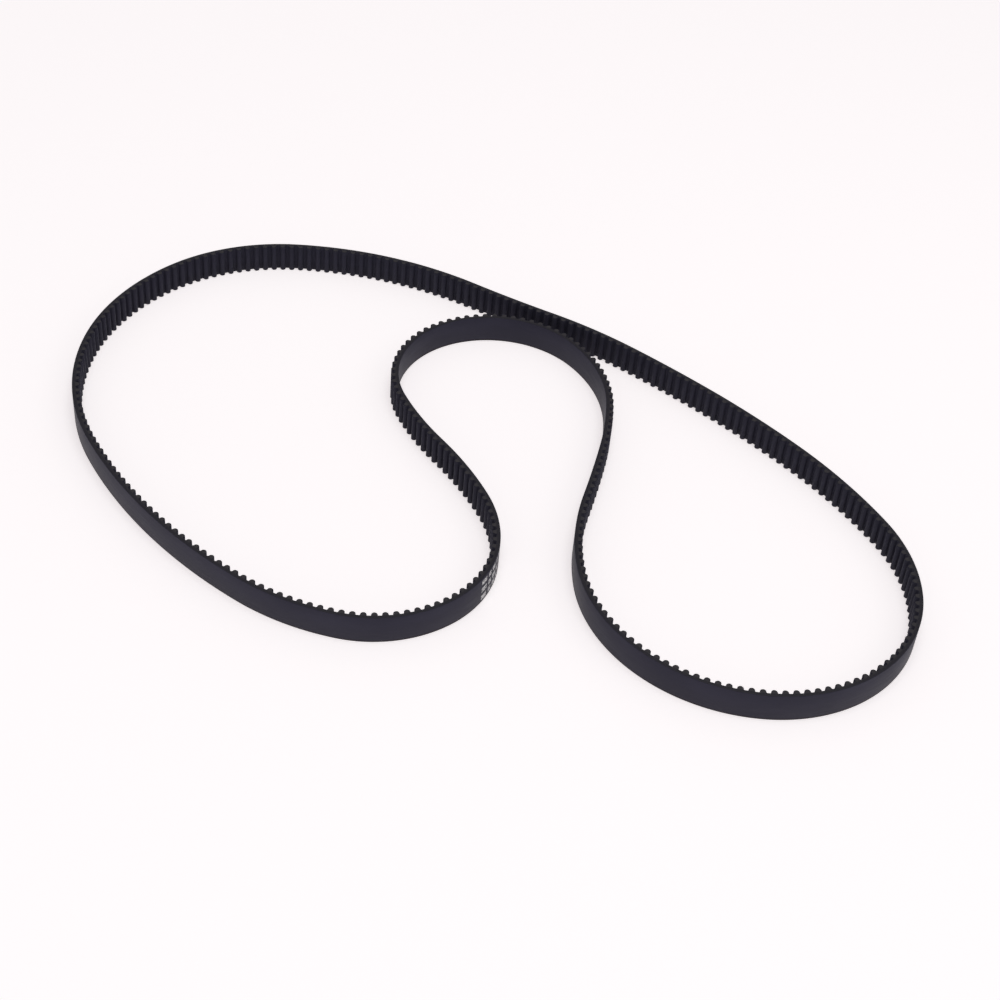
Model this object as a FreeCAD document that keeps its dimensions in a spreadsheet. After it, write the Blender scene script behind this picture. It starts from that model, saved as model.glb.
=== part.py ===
"""Endless timing belt with round teeth, standing on one edge in a relaxed, folded loop.

The belt is a chain of arcs along its cord line.  Every arc holds a whole number of teeth.
It is divided into stretches at the middle of a land, where it is hinged so that it can flex.
Each stretch has its own rubber, its own fabric facing and its own length of the cords.
"""
import FreeCAD, Part
import math
import os

import Sketcher

V = FreeCAD.Vector
UP = V(0, 0, 1)

# Driving sizes in millimetres and degrees; they go into the sheet under these names.
SIZES = [
    ("pitch", 3.0),
    ("belt_width", 9.0),
    ("belt_thickness", 2.4),
    ("tooth_height", 1.22),
    ("tooth_radius", 0.87),
    ("root_fillet", 0.25),
    ("land_depth", 0.381),
    ("facing_thickness", 0.15),
    ("facing_recess", 0.05),
    ("cord_radius", 0.18),
    ("cord_clearance", 0.01),
    ("cord_count", 12),
    ("cord_spacing", 0.72),
    ("cord_end_setback", 0.06),
    ("hinge_gap", 0.06),
    ("join_gap", 0.3),
    ("hinge_relief", 4.0),
    ("ink_thickness", 0.02),
    ("ink_row_height", 1.6),
    ("ink_row_spacing", 2.8),
    ("ink_row_start", 0.9),
]

# The loop, clockwise from above and starting on the far side.  An arc is its number of teeth
# and the heading of the belt at its end; +X is heading 0 and a left turn raises it.
START_HEADING = -24
COURSE = [
    ("far_middle", [(10, -35)]),
    ("far_right", [(10, -39), (12, -46)]),
    ("right_bend", [(13, -60), (10, -91), (23, -179)]),
    ("front_right", [(24, -261)]),
    ("fold_foot", [(5, -273), (5, -282)]),
    ("fold_right", [(8, -279), (7, -269)]),
    ("fold_crown", [(11, -227), (30, -63), (8, -50), (9, -63)]),
    ("fold_left", [(6, -86), (10, -137)]),
    ("front_corner", [(11, -189)]),
    ("front_left", [(10, -212)]),
    ("left_bend", [(25, -238), (17, -275), (15, -311), (15, -356), (11, -373)]),
    ("far_left", [(10, -388)]),
    ("join", [(10, -384)]),
]
# The headings at the end of these arcs take up what is left to close the loop.
CLOSING_ARCS = [("right_bend", 1), ("left_bend", 2)]
# The one cut line with no hinge is where the last stretch meets the first.
OPEN_ENDS = [(COURSE[0][0], False), (COURSE[-1][0], True)]

# Printed dashes on the back: the stretch, then where each starts and how long it is, in teeth.
INK_STRETCH = "fold_left"
INK_DASHES = [(6.3, 0.5), (7.2, 0.9), (8.5, 0.4), (9.3, 0.7), (10.4, 0.5), (11.3, 0.9)]


# ---- the cord line -----------------------------------------------------------------------

def stretch_arcs():
    """First and last-plus-one arc number of every stretch."""
    spans = {}
    number = 0
    for name, arcs in COURSE:
        spans[name] = (number, number + len(arcs))
        number += len(arcs)
    return spans


def chord(arcs, headings, first, last):
    """Vector from the start of arc `first` to the start of arc `last`, in pitches."""
    x = 0.0
    y = 0.0
    for k in range(first, last):
        half = math.radians(headings[k + 1] - headings[k]) / 2
        middle = math.radians(headings[k + 1] + headings[k]) / 2
        length = arcs[k][0] * math.sin(half) / half
        x += length * math.cos(middle)
        y += length * math.sin(middle)
    return x, y


def settle(headings, i, j, miss):
    """Adjust headings i and j until the two values of miss() are zero."""
    step = 0.001
    for _ in range(12):
        base = miss()
        columns = []
        for k in (i, j):
            headings[k] += step
            moved = miss()
            headings[k] -= step
            columns.append([(m - b) / step for m, b in zip(moved, base)])
        (a, c), (b, d) = columns
        determinant = a * d - b * c
        headings[i] -= (d * base[0] - b * base[1]) / determinant
        headings[j] -= (a * base[1] - c * base[0]) / determinant


def solved_headings(arcs, spans):
    """Headings at the arc ends, with two of them adjusted so that the loop closes."""
    headings = [START_HEADING] + [float(arc[1]) for arc in arcs]
    (one, i), (other, j) = CLOSING_ARCS
    settle(headings, spans[one][0] + i + 1, spans[other][0] + j + 1,
           lambda: chord(arcs, headings, 0, len(arcs)))
    return headings


def laid_out_arcs(values):
    """Every arc's centre, radius and angles, with the middle of the loop at the origin."""
    pitch = values["pitch"]
    backing = values["belt_thickness"] - values["tooth_height"] - values["land_depth"]
    flat = [arc for _, arcs in COURSE for arc in arcs]
    headings = solved_headings(flat, stretch_arcs())
    result = []
    x = 0.0
    y = 0.0
    reach_x = []
    reach_y = []
    for k, (teeth, _) in enumerate(flat):
        start = headings[k]
        turn = headings[k + 1] - start
        side = -1 if turn < 0 else 1
        radius = teeth / abs(math.radians(turn))
        inward = math.radians(start - 90)
        centre_x = x - side * radius * math.cos(inward)
        centre_y = y - side * radius * math.sin(inward)
        # From the centre, the cord line lies outward on a right turn and inward on a left one.
        start_angle = start + 90 if side < 0 else start - 90
        result.append({"teeth": teeth, "turn": abs(turn), "side": side, "radius": radius,
                       "x": centre_x, "y": centre_y, "start_angle": start_angle})
        back = radius - side * backing / pitch
        samples = 40 * teeth
        for n in range(samples + 1):
            angle = math.radians(start_angle + turn * n / samples)
            reach_x.append(centre_x + back * math.cos(angle))
            reach_y.append(centre_y + back * math.sin(angle))
        end = math.radians(start_angle + turn)
        x = centre_x + radius * math.cos(end)
        y = centre_y + radius * math.sin(end)
    middle_x = (min(reach_x) + max(reach_x)) / 2
    middle_y = (min(reach_y) + max(reach_y)) / 2
    for arc in result:
        arc["x"] -= middle_x
        arc["y"] -= middle_y
    return result


# ---- the sheet ---------------------------------------------------------------------------

def fill_sheet(sheet, arcs):
    """Write the sizes, and each arc's place as a multiple of the pitch."""
    row = 1
    entries = [(name, "%.10g" % value) for name, value in SIZES]
    entries += [
        ("backing", "=belt_thickness - tooth_height - land_depth"),
        ("facing_width", "=belt_width - 2 * facing_recess"),
        ("inner_tooth_radius", "=tooth_radius - facing_thickness"),
        ("inner_root_fillet", "=root_fillet + facing_thickness"),
        ("channel_radius", "=cord_radius + cord_clearance"),
    ]
    number = 0
    for name, listed in COURSE:
        for letter in "abcdefgh"[:len(listed)]:
            arc = arcs[number]
            arc["name"] = name + "_" + letter
            entries += [
                (arc["name"] + "_teeth", "%d" % arc["teeth"]),
                (arc["name"] + "_turn", "%.9f" % arc["turn"]),
                (arc["name"] + "_step", "=%s_turn / %s_teeth" % (arc["name"], arc["name"])),
                (arc["name"] + "_radius", "=%s_teeth * pitch / %s_turn * 180 / pi"
                 % (arc["name"], arc["name"])),
                (arc["name"] + "_x", "=%.9f * pitch" % arc["x"]),
                (arc["name"] + "_y", "=%.9f * pitch" % arc["y"]),
                (arc["name"] + "_angle", "%.9f" % arc["start_angle"]),
            ]
            number += 1
    for name, text in entries:
        sheet.set("A%d" % row, name)
        sheet.set("B%d" % row, text)
        sheet.setAlias("B%d" % row, name)
        row += 1


# ---- outlines ----------------------------------------------------------------------------

def polar(radius, angle):
    return V(radius * math.cos(angle), radius * math.sin(angle), 0)


def arc_between(centre, radius, start, end):
    """Circular arc from angle start to angle end, whichever way is shorter."""
    circle = Part.Circle(centre, UP, radius)
    return Part.ArcOfCircle(circle, min(start, end), max(start, end))


def tooth_outline(side, pitch_radius, land, tooth_radius, fillet, tip, half_step):
    """Half-pitch land, fillet, flank, tip and back again, in the frame of the arc's centre.

    The tooth stands on the local X axis.  Also returns the outline's two end points.
    """
    land_radius = pitch_radius + side * land
    fillet_centre_distance = land_radius + side * fillet
    fillet_angle = math.asin((tooth_radius + fillet) / fillet_centre_distance)
    flank_x = fillet_centre_distance * math.cos(fillet_angle)
    tip_centre = V(pitch_radius + side * (tip - tooth_radius), 0, 0)
    edges = []
    for sign in (-1, 1):
        centre = polar(fillet_centre_distance, sign * fillet_angle)
        toward_land = sign * fillet_angle + (math.pi if side > 0 else 0)
        toward_flank = -sign * math.pi / 2
        turn = math.remainder(toward_flank - toward_land, 2 * math.pi)
        ends = [
            arc_between(V(0, 0, 0), land_radius, sign * half_step, sign * fillet_angle),
            arc_between(centre, fillet, toward_land, toward_land + turn),
            Part.LineSegment(V(flank_x, sign * tooth_radius, 0),
                             V(tip_centre.x, sign * tooth_radius, 0)),
        ]
        edges += ends if sign < 0 else reversed(ends)
        if sign < 0:
            first = math.pi / 2 if side < 0 else -math.pi / 2
            edges.append(arc_between(tip_centre, tooth_radius, first, first + math.pi))
    return edges, polar(land_radius, -half_step), polar(land_radius, half_step)


def rubber_cell(values, arc):
    """One pitch of rubber: the back, two cut lines and the inside of the facing."""
    radius = values[arc["name"] + "_radius"]
    half = math.radians(values[arc["name"] + "_step"]) / 2
    back = radius - arc["side"] * values["backing"]
    tip = values["land_depth"] + values["tooth_height"] - values["facing_thickness"]
    outline, low, high = tooth_outline(
        arc["side"], radius, values["land_depth"] - values["facing_thickness"],
        values["inner_tooth_radius"], values["inner_root_fillet"], tip, half)
    return outline + [
        Part.LineSegment(high, polar(back, half)),
        arc_between(V(0, 0, 0), back, -half, half),
        Part.LineSegment(polar(back, -half), low),
    ]


def facing_cell(values, arc):
    """One pitch of fabric facing: a thin skin that follows the rubber tooth."""
    radius = values[arc["name"] + "_radius"]
    half = math.radians(values[arc["name"] + "_step"]) / 2
    skin = values["facing_thickness"]
    tip = values["land_depth"] + values["tooth_height"]
    inner, inner_low, inner_high = tooth_outline(
        arc["side"], radius, values["land_depth"] - skin,
        values["inner_tooth_radius"], values["inner_root_fillet"], tip - skin, half)
    outer, outer_low, outer_high = tooth_outline(
        arc["side"], radius, values["land_depth"],
        values["tooth_radius"], values["root_fillet"], tip, half)
    return inner + outer + [
        Part.LineSegment(inner_high, outer_high),
        Part.LineSegment(outer_low, inner_low),
    ]


# ---- features ----------------------------------------------------------------------------

def plane(body, role):
    for feature in body.Origin.OriginFeatures:
        if feature.Role == role:
            return feature
    raise ValueError("no plane " + role)


def new_body(document, label):
    body = document.addObject("PartDesign::Body", label)
    body.Label = label
    body.AllowCompound = True
    return body


def flat_sketch(body, arc, height, angle):
    """Sketch lying flat with its origin at the arc's centre and X at the given angle."""
    sketch = body.newObject("Sketcher::SketchObject", "outline")
    sketch.AttachmentSupport = [(plane(body, "XY_Plane"), "")]
    sketch.MapMode = "FlatFace"
    sketch.setExpression("AttachmentOffset.Base.x", "sizes.%s_x" % arc["name"])
    sketch.setExpression("AttachmentOffset.Base.y", "sizes.%s_y" % arc["name"])
    sketch.setExpression("AttachmentOffset.Base.z", height)
    sketch.setExpression("AttachmentOffset.Rotation.Angle", angle)
    return sketch


def toothed_stretch(document, values, label, arcs, cell, height, width):
    """Body of one layer: a padded cell for each arc, repeated round the arc's centre."""
    body = new_body(document, label)
    for arc in arcs:
        name = arc["name"]
        turn_sign = "+" if arc["side"] > 0 else "-"
        first_tooth = "sizes.%s_angle %s sizes.%s_step / 2" % (name, turn_sign, name)
        sketch = flat_sketch(body, arc, height, first_tooth)
        for edge in cell(values, arc):
            sketch.addGeometry(edge, False)
        pad = body.newObject("PartDesign::Pad", "cell")
        pad.Profile = sketch
        pad.setExpression("Length", width)
        body.Tip = pad
        pattern = body.newObject("PartDesign::PolarPattern", "teeth")
        pattern.Originals = [pad]
        pattern.Axis = (sketch, ["N_Axis"])
        pattern.Reversed = arc["side"] < 0
        pattern.setExpression("Occurrences", "sizes.%s_teeth" % name)
        pattern.setExpression("Angle", "sizes.%s_turn - sizes.%s_step" % (name, name))
        body.Tip = pattern
        sketch.Visibility = False
    return body


def cut_hinge_ends(body, values, stretch, arcs):
    """Cut both ends back to a blunt V about the hinge line, so that neighbours can fold."""
    slope = math.tan(math.radians(values["hinge_relief"]))
    outside = -2.0
    inside = 0.9
    beyond = -0.4
    for arc, at_end in ((arcs[0], False), (arcs[-1], True)):
        name = arc["name"]
        gap = values["join_gap" if (stretch, at_end) in OPEN_ENDS else "hinge_gap"] / 2
        turn = arc["side"] * (1 if at_end else 0)
        angle = "sizes.%s_angle + %d * sizes.%s_turn" % (name, turn, name)
        sketch = flat_sketch(body, arc, "0", angle)
        along = arc["side"] * (-1 if at_end else 1)
        radius = values[name + "_radius"]
        corners = []
        for depth, distance in ((outside, beyond), (outside, gap - slope * outside), (0, gap),
                                (inside, gap + slope * inside), (inside, beyond)):
            corners.append(V(radius + arc["side"] * depth, along * distance, 0))
        for one, other in zip(corners, corners[1:] + corners[:1]):
            sketch.addGeometry(Part.LineSegment(one, other), False)
        pocket = body.newObject("PartDesign::Pocket", "relief")
        pocket.Profile = sketch
        pocket.Reversed = True
        pocket.setExpression("Length", "sizes.belt_width")
        body.Tip = pocket
        sketch.Visibility = False


def strands(body, values, arcs, feature, radius_name, setback):
    """Turn a column of circles round every arc: the cords, or the channels they lie in."""
    for number, arc in enumerate(arcs):
        name = arc["name"]
        sign = "+" if arc["side"] > 0 else "-"
        inset = "(sizes.cord_end_setback / sizes.%s_radius * 180 / pi)" % name
        first = inset if setback and number == 0 else "0"
        last = inset if setback and number == len(arcs) - 1 else "0"
        sketch = body.newObject("Sketcher::SketchObject", "column")
        sketch.AttachmentSupport = [(plane(body, "XZ_Plane"), "")]
        sketch.MapMode = "FlatFace"
        sketch.AttachmentOffset = FreeCAD.Placement(V(0, 0, 0), FreeCAD.Rotation(V(0, 1, 0), 30))
        sketch.setExpression("AttachmentOffset.Base.x", "sizes.%s_x" % name)
        sketch.setExpression("AttachmentOffset.Base.z", "-sizes.%s_y" % name)
        sketch.setExpression("AttachmentOffset.Rotation.Angle",
                             "sizes.%s_angle %s %s" % (name, sign, first))
        count = int(values["cord_count"])
        for k in range(count):
            height = values["belt_width"] / 2 + (k - (count - 1) / 2) * values["cord_spacing"]
            circle = Part.Circle(V(values[name + "_radius"], height, 0), UP, values[radius_name])
            sketch.addGeometry(circle, False)
        turned = body.newObject(feature, "strands")
        turned.Profile = sketch
        turned.ReferenceAxis = (sketch, ["V_Axis"])
        turned.Reversed = arc["side"] < 0
        turned.setExpression("Angle", "sizes.%s_turn - %s - %s" % (name, first, last))
        body.Tip = turned
        sketch.Visibility = False


def ink_marks(document, values, arcs):
    """Three rows of plain printed dashes on the back, each its own thin curved patch."""
    body = new_body(document, "ink_marking")
    passed = 0
    for arc in arcs:
        name = arc["name"]
        radius = values[name + "_radius"]
        back = radius - arc["side"] * values["backing"]
        outer = back - arc["side"] * values["ink_thickness"]
        step = math.radians(values[name + "_step"]) * arc["side"]
        dashes = [d for d in INK_DASHES if passed <= d[0] < passed + arc["teeth"]]
        passed += arc["teeth"]
        if not dashes:
            continue
        sketch = flat_sketch(body, arc, "sizes.ink_row_start", "sizes.%s_angle" % name)
        for start, length in dashes:
            one = (start - passed + arc["teeth"]) * step
            other = one + length * step
            sketch.addGeometry(arc_between(V(0, 0, 0), back, one, other), False)
            sketch.addGeometry(arc_between(V(0, 0, 0), outer, one, other), False)
            for angle in (one, other):
                sketch.addGeometry(Part.LineSegment(polar(back, angle), polar(outer, angle)),
                                   False)
        pad = body.newObject("PartDesign::Pad", "row")
        pad.Profile = sketch
        pad.setExpression("Length", "sizes.ink_row_height")
        body.Tip = pad
        rows = body.newObject("PartDesign::LinearPattern", "rows")
        rows.Originals = [pad]
        rows.Direction = (sketch, ["N_Axis"])
        rows.setExpression("Length", "2 * sizes.ink_row_spacing")
        rows.Occurrences = 3
        body.Tip = rows
        sketch.Visibility = False
    return body


# ---- build -------------------------------------------------------------------------------

def check(objects, nodes):
    """Stop on any failed feature, or on a part with no valid shape."""
    for item in objects:
        if "Invalid" in item.State or "Error" in item.State:
            raise RuntimeError("failed: %s %s" % (item.Label, item.State))
    for node in nodes:
        if node.Shape.isNull() or not node.Shape.isValid():
            raise RuntimeError("bad shape: " + node.Label)


def main():
    os.makedirs("parts", exist_ok=True)
    document = FreeCAD.newDocument("timing_belt")
    sheet = document.addObject("Spreadsheet::Sheet", "sizes")
    arcs = laid_out_arcs(dict(SIZES))
    fill_sheet(sheet, arcs)
    document.recompute()
    values = {name: float(sheet.get(name)) for name in
              (sheet.getAlias(cell) for cell in sheet.getUsedCells()) if name}
    spans = stretch_arcs()
    nodes = []
    for name, _ in COURSE:
        own = arcs[slice(*spans[name])]
        rubber = toothed_stretch(document, values, "rubber_" + name, own, rubber_cell,
                                 "0", "sizes.belt_width")
        strands(rubber, values, own, "PartDesign::Groove", "channel_radius", False)
        cut_hinge_ends(rubber, values, name, own)
        facing = toothed_stretch(document, values, "facing_" + name, own, facing_cell,
                                 "sizes.facing_recess", "sizes.facing_width")
        cut_hinge_ends(facing, values, name, own)
        cords = new_body(document, "cords_" + name)
        strands(cords, values, own, "PartDesign::Revolution", "cord_radius", True)
        nodes += [rubber, facing, cords]
    nodes.append(ink_marks(document, values, arcs[slice(*spans[INK_STRETCH])]))
    document.recompute()
    check(document.Objects, nodes)
    for node in nodes:
        node.Shape.exportStep("parts/%s.step" % node.Label)
        print(node.Label, "%d solids" % len(node.Shape.Solids), "%.1f mm3" % node.Shape.Volume)
    for name, _ in COURSE:
        arc = arcs[spans[name][0]]
        angle = math.radians(arc["start_angle"])
        x = (arc["x"] + arc["radius"] * math.cos(angle)) * values["pitch"]
        y = (arc["y"] + arc["radius"] * math.sin(angle)) * values["pitch"]
        print("hinge before %s: %.5f %.5f mm" % (name, x, y))


main()
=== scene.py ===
import math

import bpy
from mathutils import Matrix, Vector

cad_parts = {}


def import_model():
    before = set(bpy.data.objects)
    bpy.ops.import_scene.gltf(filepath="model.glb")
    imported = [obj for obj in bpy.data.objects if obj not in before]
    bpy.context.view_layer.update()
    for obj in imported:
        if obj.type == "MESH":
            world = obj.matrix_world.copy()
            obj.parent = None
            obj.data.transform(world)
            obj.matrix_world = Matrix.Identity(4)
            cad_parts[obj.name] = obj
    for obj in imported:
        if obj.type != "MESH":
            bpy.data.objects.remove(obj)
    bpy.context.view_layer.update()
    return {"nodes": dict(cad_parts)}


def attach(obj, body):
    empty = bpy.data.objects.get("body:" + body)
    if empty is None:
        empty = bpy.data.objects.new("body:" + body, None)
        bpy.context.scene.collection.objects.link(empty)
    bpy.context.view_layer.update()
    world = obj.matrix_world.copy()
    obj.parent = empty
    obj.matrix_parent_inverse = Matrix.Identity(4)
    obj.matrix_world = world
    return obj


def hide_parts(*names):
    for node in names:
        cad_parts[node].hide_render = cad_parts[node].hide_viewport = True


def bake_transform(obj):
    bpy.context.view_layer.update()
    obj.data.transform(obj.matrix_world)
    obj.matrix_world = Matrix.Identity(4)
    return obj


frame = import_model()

# ---- sizes, in millimetres, as the CAD has them --------------------------------------------

MM = 0.001
PITCH = 3.0
WIDTH = 9.0
TOOTH = 1.22
TOOTH_RADIUS = 0.87
FILLET = 0.25
# Depths are measured from the cord line: the lands lie inside it, and the back outside it.
LAND = 0.381
BACKING = 2.4 - TOOTH - LAND
# Thickness of the facing, and how far its rims stand back from the cut edges.
SKIN = 0.15
RECESS = 0.05
# How far the back's edges are eased, and the facing's rims, across and along the height.
EDGE = 0.12
RIM_IN = 0.06
RIM_UP = 0.08
# Edges that turn more than this many degrees stay crisp.
CREASE = 50
# Length of the toothed outline for each unit of pitch, roughly, for places along it.
OUTLINE_RATIO = 1.55
# Spacing of the facing's yarns.
YARN = 0.26

# The loop, clockwise from above.  An arc is its number of teeth and its heading at the end.
START_HEADING = -24
COURSE = [
    ("far_middle", [(10, -35)]),
    ("far_right", [(10, -39), (12, -46)]),
    ("right_bend", [(13, -60), (10, -91), (23, -179)]),
    ("front_right", [(24, -261)]),
    ("fold_foot", [(5, -273), (5, -282)]),
    ("fold_right", [(8, -279), (7, -269)]),
    ("fold_crown", [(11, -227), (30, -63), (8, -50), (9, -63)]),
    ("fold_left", [(6, -86), (10, -137)]),
    ("front_corner", [(11, -189)]),
    ("front_left", [(10, -212)]),
    ("left_bend", [(25, -238), (17, -275), (15, -311), (15, -356), (11, -373)]),
    ("far_left", [(10, -388)]),
    ("join", [(10, -384)]),
]
# The headings at the end of these arcs, counted along the loop, take up what is left to close it.
CLOSING = (5, 22)
# Teeth on each side of a hinge line over which the belt bends.
BEND = 2
# Teeth left out on each side of the one cut, so that its two ends never touch.
CUT = 0.04 / PITCH


# ---- the cord line -------------------------------------------------------------------------

def chord_sum(arcs, headings):
    """Sum of the arcs' chords as vectors, in teeth, which is zero for a closed loop."""
    x = 0.0
    y = 0.0
    for k, (teeth, _) in enumerate(arcs):
        half = math.radians(headings[k + 1] - headings[k]) / 2
        middle = math.radians(headings[k + 1] + headings[k]) / 2
        length = teeth * math.sin(half) / half
        x += length * math.cos(middle)
        y += length * math.sin(middle)
    return x, y


def close_loop(arcs, headings):
    """Adjust the two closing headings until the loop ends where it starts."""
    i, j = CLOSING
    step = 0.001
    for _ in range(12):
        base = chord_sum(arcs, headings)
        columns = []
        for k in (i, j):
            headings[k] += step
            moved = chord_sum(arcs, headings)
            headings[k] -= step
            columns.append([(m - b) / step for m, b in zip(moved, base)])
        (a, c), (b, d) = columns
        determinant = a * d - b * c
        headings[i] -= (d * base[0] - b * base[1]) / determinant
        headings[j] -= (a * base[1] - c * base[0]) / determinant


class CordLine:
    """The closed line of tangent arcs that the cords follow."""

    def __init__(self):
        arcs = [arc for _, listed in COURSE for arc in listed]
        headings = [START_HEADING] + [float(arc[1]) for arc in arcs]
        close_loop(arcs, headings)
        self.arcs = []
        x = 0.0
        y = 0.0
        passed = 0
        for k, (teeth, _) in enumerate(arcs):
            start = math.radians(headings[k])
            turn = math.radians(headings[k + 1]) - start
            radius = teeth * PITCH / turn
            centre_x = x - radius * math.sin(start)
            centre_y = y + radius * math.cos(start)
            self.arcs.append((passed, teeth, start, turn, radius, centre_x, centre_y))
            end = start + turn
            x = centre_x + radius * math.sin(end)
            y = centre_y - radius * math.cos(end)
            passed += teeth
        self.teeth = passed
        self.offset = (0.0, 0.0)
        outline = [self.point(n / 40, -BACKING) for n in range(40 * passed)]
        xs = [p[0] for p in outline]
        ys = [p[1] for p in outline]
        self.offset = (-(min(xs) + max(xs)) / 2, -(min(ys) + max(ys)) / 2)

    def heading(self, s):
        """Heading at s teeth from the start, and the centre and signed radius of its arc."""
        s = s % self.teeth
        for passed, teeth, start, turn, radius, cx, cy in self.arcs:
            if s <= passed + teeth:
                break
        return start + turn * (s - passed) / teeth, radius, cx, cy

    def point(self, s, depth):
        """Point at s teeth, depth mm from the cord line towards the inside of the loop."""
        heading, radius, cx, cy = self.heading(s)
        reach = radius + depth
        return (cx + reach * math.sin(heading) + self.offset[0],
                cy - reach * math.cos(heading) + self.offset[1])

    def beside(self, s, along, depth):
        """Point by straight offsets from s: along the tangent, and towards the inside."""
        heading, _, _, _ = self.heading(s)
        x, y = self.point(s, 0.0)
        return (x + along * math.cos(heading) + depth * math.sin(heading),
                y + along * math.sin(heading) - depth * math.cos(heading))


LINE = CordLine()


# ---- outlines ------------------------------------------------------------------------------

def tooth_profile(skin):
    """One pitch of the inside outline as (along, depth, on_tooth), the skin taken off it."""
    land = LAND - skin
    radius = TOOTH_RADIUS - skin
    fillet = FILLET + skin
    centre = LAND + TOOTH - TOOTH_RADIUS
    half = [(-PITCH / 2, land, False), (-PITCH / 2 + 0.2, land, False)]
    for k in range(5):
        angle = math.pi / 2 * k / 4
        half.append((-(radius + fillet) + fillet * math.sin(angle),
                     land + fillet * (1 - math.cos(angle)), True))
    steps = 7
    for k in range(steps):
        angle = math.pi / 2 * k / steps
        half.append((-radius * math.cos(angle), centre + radius * math.sin(angle), True))
    tip = [(0.0, centre + radius, True)]
    return half + tip + [(-a, d, t) for a, d, t in reversed(half)]


def clear_of_cut(s):
    """The place s, kept off the cut at the loop's start and end."""
    return min(max(s, CUT), LINE.teeth - CUT)


def inside_points(first, last, skin):
    """Inside outline from tooth line `first` to `last`: x, y, length along it and depth."""
    profile = tooth_profile(skin)
    points = []
    travelled = 0.0
    for tooth in range(first, last):
        centre = tooth + 0.5
        for along, depth, on_tooth in profile if tooth == first else profile[1:]:
            if on_tooth:
                x, y = LINE.beside(centre, along, depth)
            else:
                x, y = LINE.point(clear_of_cut(centre + along / PITCH), depth)
            if points:
                travelled += math.hypot(x - points[-1][0], y - points[-1][1])
            points.append((x, y, travelled, depth))
    start = first * PITCH * OUTLINE_RATIO
    return [(x, y, start + t, d) for x, y, t, d in points]


def back_points(first, last, depth):
    """The back of the same stretch, with one point for each point of the inside outline."""
    spread = len(tooth_profile(0.0)) - 1
    points = []
    for k in range(spread * (last - first) + 1):
        s = clear_of_cut(first + k / spread)
        x, y = LINE.point(s, depth)
        points.append((x, y, s * PITCH, depth))
    return points


# ---- meshes --------------------------------------------------------------------------------

def loft(name, rings):
    """Closed mesh through a ring of rails; a rail is a list of (x, y, z, along, depth)."""
    count = len(rings[0])
    vertices = [(x * MM, y * MM, z * MM) for rail in rings for x, y, z, _, _ in rail]
    places = [(along, z, depth) for rail in rings for _, _, z, along, depth in rail]
    faces = []
    for r in range(len(rings)):
        a = r * count
        b = (r + 1) % len(rings) * count
        for k in range(count - 1):
            faces.append((a + k, b + k, b + k + 1, a + k + 1))
    faces.append(tuple(reversed([r * count for r in range(len(rings))])))
    faces.append(tuple(r * count + count - 1 for r in range(len(rings))))
    mesh = bpy.data.meshes.new(name)
    mesh.from_pydata(vertices, [], faces)
    mesh.validate()
    place = mesh.attributes.new("belt_place", "FLOAT_VECTOR", "POINT")
    place.data.foreach_set("vector", [c for p in places for c in p])
    mesh.shade_smooth()
    mesh.update()
    piece = bpy.data.objects.new(name, mesh)
    bpy.context.scene.collection.objects.link(piece)
    return piece


def rail(points, z):
    """The points at one height, as loft takes them."""
    return [(x, y, z, along, depth) for x, y, along, depth in points]


def keep_creases(piece):
    """Keep the crisp edges crisp in the smooth shading."""
    piece.data.set_sharp_from_angle(angle=math.radians(CREASE))


def rubber_piece(name, first, last):
    """Backing and teeth under the facing, with the back's edges eased."""
    inside = inside_points(first, last, SKIN)
    back = back_points(first, last, -BACKING)
    eased = back_points(first, last, -BACKING + EDGE)
    part = back_points(first, last, -BACKING + 0.3 * EDGE)
    rings = [
        rail(inside, 0.0), rail(eased, 0.0), rail(part, 0.3 * EDGE), rail(back, EDGE),
        rail(back, WIDTH - EDGE), rail(part, WIDTH - 0.3 * EDGE), rail(eased, WIDTH),
        rail(inside, WIDTH),
    ]
    piece = loft(name, rings)
    keep_creases(piece)
    return piece


def facing_piece(name, first, last):
    """The fabric skin over the teeth, its cut rims eased."""
    under = inside_points(first, last, SKIN)
    over = inside_points(first, last, 0.0)
    rim = inside_points(first, last, RIM_IN)
    low = RECESS
    high = WIDTH - RECESS
    rings = [
        rail(over, low + RIM_UP), rail(rim, low), rail(under, low), rail(under, high),
        rail(rim, high), rail(over, high - RIM_UP),
    ]
    piece = loft(name, rings)
    keep_creases(piece)
    return piece


# ---- material nodes ------------------------------------------------------------------------

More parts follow.
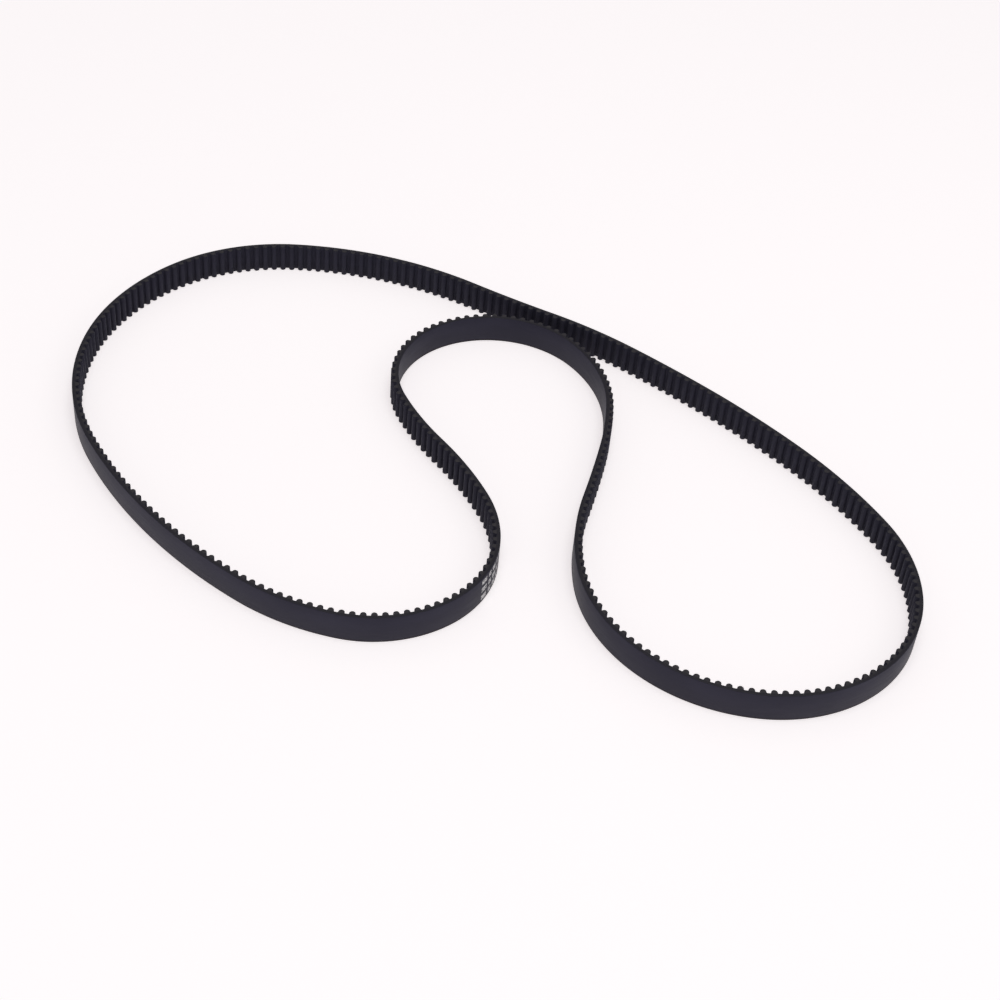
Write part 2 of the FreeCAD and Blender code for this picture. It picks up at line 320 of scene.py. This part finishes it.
class Nodes:
    """Small helper for building one material's node tree."""

    def __init__(self, name):
        self.material = bpy.data.materials.new(name)
        self.material.use_nodes = True
        self.tree = self.material.node_tree
        self.shader = self.tree.nodes["Principled BSDF"]

    def add(self, kind, inputs=(), **settings):
        node = self.tree.nodes.new(kind)
        for key, value in settings.items():
            setattr(node, key, value)
        for key, value in dict(inputs).items():
            self.put(node.inputs[key], value)
        return node

    def put(self, socket, value):
        if isinstance(value, bpy.types.NodeSocket):
            self.tree.links.new(value, socket)
        else:
            socket.default_value = value

    def math(self, operation, a, b=0.0):
        node = self.add("ShaderNodeMath", {0: a, 1: b}, operation=operation)
        return node.outputs[0]

    def place(self):
        """Along, height and depth on the belt, in millimetres."""
        node = self.add("ShaderNodeAttribute", attribute_name="belt_place")
        split = self.add("ShaderNodeSeparateXYZ", {0: node.outputs["Vector"]})
        return node.outputs["Vector"], split.outputs

    def scaled(self, vector, scale):
        node = self.add("ShaderNodeVectorMath", {0: vector, 1: scale}, operation="MULTIPLY")
        return node.outputs[0]

    def noise(self, vector, scale, detail=2.0, roughness=0.5):
        node = self.add("ShaderNodeTexNoise", {
            "Vector": vector, "Scale": scale, "Detail": detail, "Roughness": roughness})
        return node.outputs["Fac"]

    def ramp(self, value, low, high, start=0.0, end=1.0):
        node = self.add("ShaderNodeMapRange", {
            "Value": value, "From Min": low, "From Max": high, "To Min": start, "To Max": end},
            clamp=True, interpolation_type="SMOOTHSTEP")
        return node.outputs["Result"]

    def mix(self, factor, a, b):
        node = self.add("ShaderNodeMix", data_type="RGBA")
        for socket, value in ((node.inputs[0], factor), (node.inputs[6], a), (node.inputs[7], b)):
            self.put(socket, value)
        return node.outputs[2]

    def bump(self, height, strength, distance):
        node = self.add("ShaderNodeBump", {
            "Height": height, "Strength": strength, "Distance": distance})
        return node.outputs["Normal"]

    def finish(self, color, roughness, normal, specular):
        self.put(self.shader.inputs["Base Color"], color)
        self.put(self.shader.inputs["Roughness"], roughness)
        self.put(self.shader.inputs["Normal"], normal)
        self.put(self.shader.inputs["Specular IOR Level"], specular)
        return self.material


def rubber_material():
    """Matte neoprene: a smooth ground back, and a duller cut edge with traces of the cords."""
    n = Nodes("moulded_rubber")
    vector, (_, height, depth) = n.place()
    broad = n.noise(n.scaled(vector, (0.05, 0.12, 0.3)), 1.0, 3.0)
    streaks = n.noise(n.scaled(vector, (0.12, 3.2, 1.0)), 1.0, 4.0, 0.6)
    grain = n.noise(n.scaled(vector, (9.0, 9.0, 9.0)), 1.0, 2.0, 0.7)
    dust = n.ramp(n.noise(n.scaled(vector, (2.3, 2.3, 2.3)), 1.0, 3.0, 0.75), 0.66, 0.74)
    color = n.mix(n.ramp(broad, 0.3, 0.7), (0.0240, 0.0223, 0.0425, 1), (0.0318, 0.0296, 0.0533, 1))
    color = n.mix(n.ramp(streaks, 0.45, 0.75, 0.0, 0.35), color, (0.0380, 0.0350, 0.0540, 1))
    color = n.mix(n.math("MULTIPLY", dust, 0.16), color, (0.10, 0.095, 0.10, 1))
    # The cut edges are where the height is at either limit.
    from_middle = n.math("ABSOLUTE", n.math("SUBTRACT", height, WIDTH / 2))
    edge = n.ramp(from_middle, WIDTH / 2 - 0.03, WIDTH / 2 - 0.005)
    near_cord = n.ramp(n.math("ABSOLUTE", depth), 0.10, 0.20, 1.0, 0.0)
    drift = n.noise(n.scaled(vector, (0.045, 0.0, 0.0)), 1.0, 1.0)
    fibres = n.noise(n.scaled(vector, (5.0, 1.0, 16.0)), 1.0, 3.0, 0.8)
    shows = n.math("MULTIPLY", n.ramp(drift, 0.52, 0.62), n.ramp(fibres, 0.35, 0.6))
    trace = n.math("MULTIPLY", n.math("MULTIPLY", near_cord, shows), edge)
    cut = n.mix(n.ramp(grain, 0.35, 0.7), (0.0250, 0.0235, 0.0320, 1), (0.0470, 0.0440, 0.0550, 1))
    tooth_end = n.mix(n.ramp(grain, 0.3, 0.7), (0.044, 0.041, 0.047, 1), (0.074, 0.069, 0.076, 1))
    cut = n.mix(n.ramp(depth, 0.05, 0.45), cut, tooth_end)
    color = n.mix(edge, color, cut)
    # Painted shade: the back is made darker the lower it is.
    painted_low_shade = n.ramp(height, 0.8, 7.5, 0.36, 0.0)
    color = n.mix(painted_low_shade, color, (0.0110, 0.0095, 0.0165, 1))
    # Painted contact shade: a thin dark line along the foot, where the belt stands on the floor.
    painted_foot_shade = n.ramp(height, 0.15, 0.85, 0.75, 0.0)
    color = n.mix(painted_foot_shade, color, (0.0110, 0.0060, 0.0080, 1))
    color = n.mix(n.math("MULTIPLY", trace, 0.35), color, (0.13, 0.095, 0.080, 1))
    rough = n.ramp(streaks, 0.2, 0.8, 0.50, 0.64)
    relief = n.math("ADD", n.math("MULTIPLY", grain, 0.6), n.math("MULTIPLY", streaks, 0.8))
    return n.finish(color, rough, n.bump(relief, 0.35, 0.00004), 0.22)


def facing_material():
    """Rubber-soaked nylon twill, a little worn on the tooth tips and fuzzy along the cut rim."""
    n = Nodes("nylon_facing")
    vector, (along, height, depth) = n.place()
    yarn = 2 * math.pi / YARN
    warp = n.math("SINE", n.math("MULTIPLY", n.math("ADD", along, height), yarn))
    weft = n.math("SINE", n.math("MULTIPLY", n.math(
        "SUBTRACT", n.math("MULTIPLY", along, 0.5), n.math("MULTIPLY", height, 1.5)), yarn))
    weave = n.math("MAXIMUM", warp, weft)
    fuzz = n.noise(n.scaled(vector, (7.0, 2.2, 7.0)), 1.0, 4.0, 0.7)
    broad = n.noise(n.scaled(vector, (0.35, 0.2, 0.4)), 1.0, 3.0)
    threads = n.ramp(weave, -0.2, 1.0)
    color = n.mix(threads, (0.0180, 0.0171, 0.0330, 1), (0.0308, 0.0294, 0.0490, 1))
    color = n.mix(n.ramp(broad, 0.35, 0.7, 0.0, 0.6), color, (0.0286, 0.0275, 0.0440, 1))
    shoulder = n.math("MULTIPLY", n.ramp(depth, 0.55, 0.95), n.ramp(depth, 1.25, 1.5, 1.0, 0.0))
    worn = n.math("MULTIPLY", shoulder, n.ramp(fuzz, 0.3, 0.7, 0.25, 1.0))
    color = n.mix(n.math("MULTIPLY", worn, 0.3), color, (0.0400, 0.0380, 0.0570, 1))
    from_middle = n.math("ABSOLUTE", n.math("SUBTRACT", height, WIDTH / 2))
    rim = n.ramp(from_middle, WIDTH / 2 - 0.75, WIDTH / 2 - 0.1)
    on_land = n.ramp(depth, 0.5, 0.8, 1.0, 0.15)
    frayed = n.math("MULTIPLY", n.math("MULTIPLY", rim, on_land), n.ramp(fuzz, 0.4, 0.65))
    color = n.mix(n.math("MULTIPLY", frayed, 0.16), color, (0.075, 0.070, 0.076, 1))
    # Painted shade: the facing is made darker the lower it is.
    painted_low_shade = n.ramp(height, 0.4, 5.0, 0.34, 0.0)
    color = n.mix(painted_low_shade, color, (0.0085, 0.0075, 0.0120, 1))
    relief = n.math("ADD", n.math("MULTIPLY", weave, 0.5), n.math("MULTIPLY", fuzz, 0.8))
    return n.finish(color, n.ramp(fuzz, 0.2, 0.8, 0.62, 0.8), n.bump(relief, 0.8, 0.00004), 0.20)


def cord_material():
    """Twisted glass-fibre cord."""
    n = Nodes("glass_cord")
    place = n.add("ShaderNodeTexCoord").outputs["Object"]
    twist = n.noise(n.scaled(place, (900.0, 900.0, 3200.0)), 1.0, 2.0, 0.6)
    color = n.mix(n.ramp(twist, 0.3, 0.7), (0.40, 0.36, 0.28, 1), (0.66, 0.62, 0.52, 1))
    return n.finish(color, 0.5, n.bump(twist, 0.6, 0.00005), 0.5)


def ink_material():
    """Thin pale ink, broken where it has rubbed off."""
    n = Nodes("pale_ink")
    place = n.add("ShaderNodeTexCoord").outputs["Object"]
    patches = n.noise(n.scaled(place, (2600.0, 2600.0, 2600.0)), 1.0, 4.0, 0.7)
    color = n.mix(n.ramp(patches, 0.46, 0.58), (0.78, 0.77, 0.78, 1), (0.07, 0.07, 0.08, 1))
    return n.finish(color, 0.6, n.bump(patches, 0.3, 0.00002), 0.3)


RUBBER = rubber_material()
FACING = facing_material()
CORD = cord_material()
INK = ink_material()


# ---- the belt ------------------------------------------------------------------------------

def dressed(piece, material):
    """The piece with its material added in a new material slot."""
    piece.data.materials.append(material)
    return piece


LAYERS = (("rubber", rubber_piece, RUBBER), ("facing", facing_piece, FACING))

start = 0
previous = None
for name, arcs in COURSE:
    length = sum(teeth for teeth, _ in arcs)
    first = start + (BEND if previous else 0)
    last = start + length - (BEND if name != COURSE[-1][0] else 0)
    for layer, build, material in LAYERS:
        rigid = dressed(build("%s_%s_span" % (layer, name), first, last), material)
        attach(rigid, name)
        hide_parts("%s_%s" % (layer, name))
        if previous:
            bend = dressed(build("%s_%s_to_%s" % (layer, previous, name),
                                 start - BEND, start + BEND),
                           material)
            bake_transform(bend)
            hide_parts("%s_%s" % (layer, previous), "%s_%s" % (layer, name))
    start += length
    previous = name

for node_name, node in frame["nodes"].items():
    if node_name.startswith("cords_") or node_name == "ink_marking":
        node.data.materials.clear()
        node.data.materials.append(INK if node_name == "ink_marking" else CORD)


# ---- floor, light and camera ---------------------------------------------------------------

def floor():
    """Large white card that gives off a little light itself, like a lit photo table."""
    mesh = bpy.data.meshes.new("floor")
    half = 6.0
    mesh.from_pydata([(-half, -half, 0), (half, -half, 0), (half, half, 0), (-half, half, 0)],
                     [], [(0, 1, 2, 3)])
    plane = bpy.data.objects.new("floor", mesh)
    bpy.context.scene.collection.objects.link(plane)
    n = Nodes("white_card")
    place = n.add("ShaderNodeTexCoord").outputs["Object"]
    grain = n.noise(place, 900.0, 2.0)
    color = n.mix(grain, (0.89, 0.89, 0.895, 1), (0.91, 0.91, 0.915, 1))
    n.put(n.shader.inputs["Emission Color"], (1.0, 0.928, 0.938, 1))
    n.put(n.shader.inputs["Emission Strength"], 0.56)
    plane.data.materials.append(n.finish(color, 0.7, n.bump(grain, 0.05, 0.00005), 0.2))


def area_light(name, place, size, power):
    """Round soft light that points at the middle of the belt."""
    data = bpy.data.lights.new(name, "AREA")
    data.shape = "DISK"
    data.size = size
    data.energy = power
    lamp = bpy.data.objects.new(name, data)
    lamp.location = place
    lamp.rotation_mode = "QUATERNION"
    lamp.rotation_quaternion = (-Vector(place)).to_track_quat("-Z", "Y")
    bpy.context.scene.collection.objects.link(lamp)


def world(strength, horizon):
    """Even faint light from all round, with a low pale wall where the floor ends.

    The map range works on the sine of the angle above the horizon.
    """
    made = bpy.data.worlds.new("studio")
    made.use_nodes = True
    tree = made.node_tree
    background = tree.nodes["Background"]
    background.inputs["Color"].default_value = (1.0, 0.985, 0.995, 1)
    direction = tree.nodes.new("ShaderNodeTexCoord")
    split = tree.nodes.new("ShaderNodeSeparateXYZ")
    fade = tree.nodes.new("ShaderNodeMapRange")
    fade.interpolation_type = "SMOOTHSTEP"
    for socket, value in (("From Min", 0.02), ("From Max", 0.14), ("To Min", horizon),
                          ("To Max", strength)):
        fade.inputs[socket].default_value = value
    tree.links.new(direction.outputs["Generated"], split.inputs[0])
    tree.links.new(split.outputs["Z"], fade.inputs["Value"])
    tree.links.new(fade.outputs["Result"], background.inputs["Strength"])
    bpy.context.scene.world = made


def camera():
    """Camera above the open side of the fold, tilted a little clockwise."""
    down = math.radians(41.0)
    roll = math.radians(5.32)
    distance = 0.5306
    aim = Vector((0.00736, -0.01691, 0.0))
    forward = Vector((0, math.cos(down), -math.sin(down)))
    right = Vector((1, 0, 0))
    up = Vector((0, math.sin(down), math.cos(down)))
    turned_right = right * math.cos(roll) + up * math.sin(roll)
    turned_up = up * math.cos(roll) - right * math.sin(roll)
    data = bpy.data.cameras.new("camera")
    data.sensor_width = 36.0
    data.lens = 36.0 * 1.8006
    data.clip_start = 0.01
    data.clip_end = 50.0
    lens = bpy.data.objects.new("camera", data)
    lens.matrix_world = Matrix((
        (turned_right.x, turned_up.x, -forward.x, aim.x - distance * forward.x),
        (turned_right.y, turned_up.y, -forward.y, aim.y - distance * forward.y),
        (turned_right.z, turned_up.z, -forward.z, aim.z - distance * forward.z),
        (0, 0, 0, 1)))
    bpy.context.scene.collection.objects.link(lens)
    bpy.context.scene.camera = lens


floor()
world(0.22, 0.72)
area_light("overhead", (0.08, -0.25, 1.6), 1.1, 7.4)
area_light("right", (1.0, -0.5, 1.2), 1.0, 1.1)
camera()
bpy.context.scene.view_settings.view_transform = "Standard"
